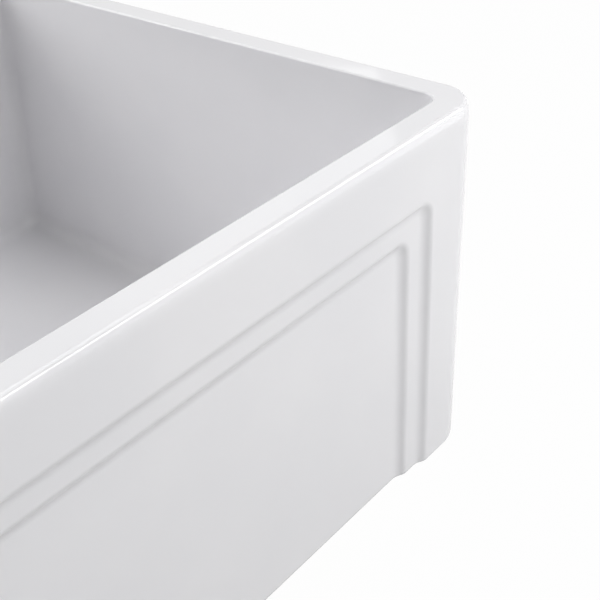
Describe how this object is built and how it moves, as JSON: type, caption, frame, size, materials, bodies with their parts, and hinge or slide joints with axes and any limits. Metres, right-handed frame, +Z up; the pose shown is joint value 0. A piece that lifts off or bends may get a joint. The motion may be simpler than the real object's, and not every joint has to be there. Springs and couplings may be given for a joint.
{
  "type": "farmhouse apron front sink",
  "caption": "White fireclay single-bowl apron-front kitchen sink with a recessed apron panel, basket strainer, sliding stopper and tailpiece.",
  "frame": {"origin": "centre of the basin's flat underside, on the axis of the drain", "axes": "+Z up; +X to the right of someone standing at the sink; the apron faces -Y"},
  "size_m": [0.7618, 0.483, 0.4162],
  "materials": {
    "white_glaze": "gloss",
    "brushed_stainless": "satin",
    "polished_trim": "polished",
    "polished_tube": "polished",
    "polished_nut": "gloss",
    "cast_zinc": "matte",
    "black_rubber": "matte",
    "white_nylon": "satin",
    "putty": "matte",
    "fibre": "matte"
  },
  "bodies": {
    "root": {"basin": "white_glaze", "flange_putty": "putty", "strainer_body": "brushed_stainless", "body_rubber_washer": "black_rubber", "body_fibre_washer": "fibre", "body_locknut": "cast_zinc", "tailpiece_washer": "white_nylon", "tailpiece": "polished_tube", "tailpiece_nut": "polished_nut"},
    "basket": {"basket_cup": "brushed_stainless", "basket_hub": "polished_trim", "hub_grip_ring": "black_rubber", "hub_retainer": "polished_trim"},
    "stopper": {"stopper_knob": "polished_trim", "stopper_post": "polished_trim", "stopper_plate": "brushed_stainless", "stopper_seal": "black_rubber", "stopper_nut": "polished_trim"}
  },
  "joints": [
    {"name": "basket_lift", "type": "slide", "parent": "root", "child": "basket", "axis": [0, 0, 1], "range_m": [0, 0.3]},
    {"name": "stopper_push", "type": "slide", "parent": "basket", "child": "stopper", "axis": [0, 0, 1], "range_m": [-0.009, 0]}
  ]
}
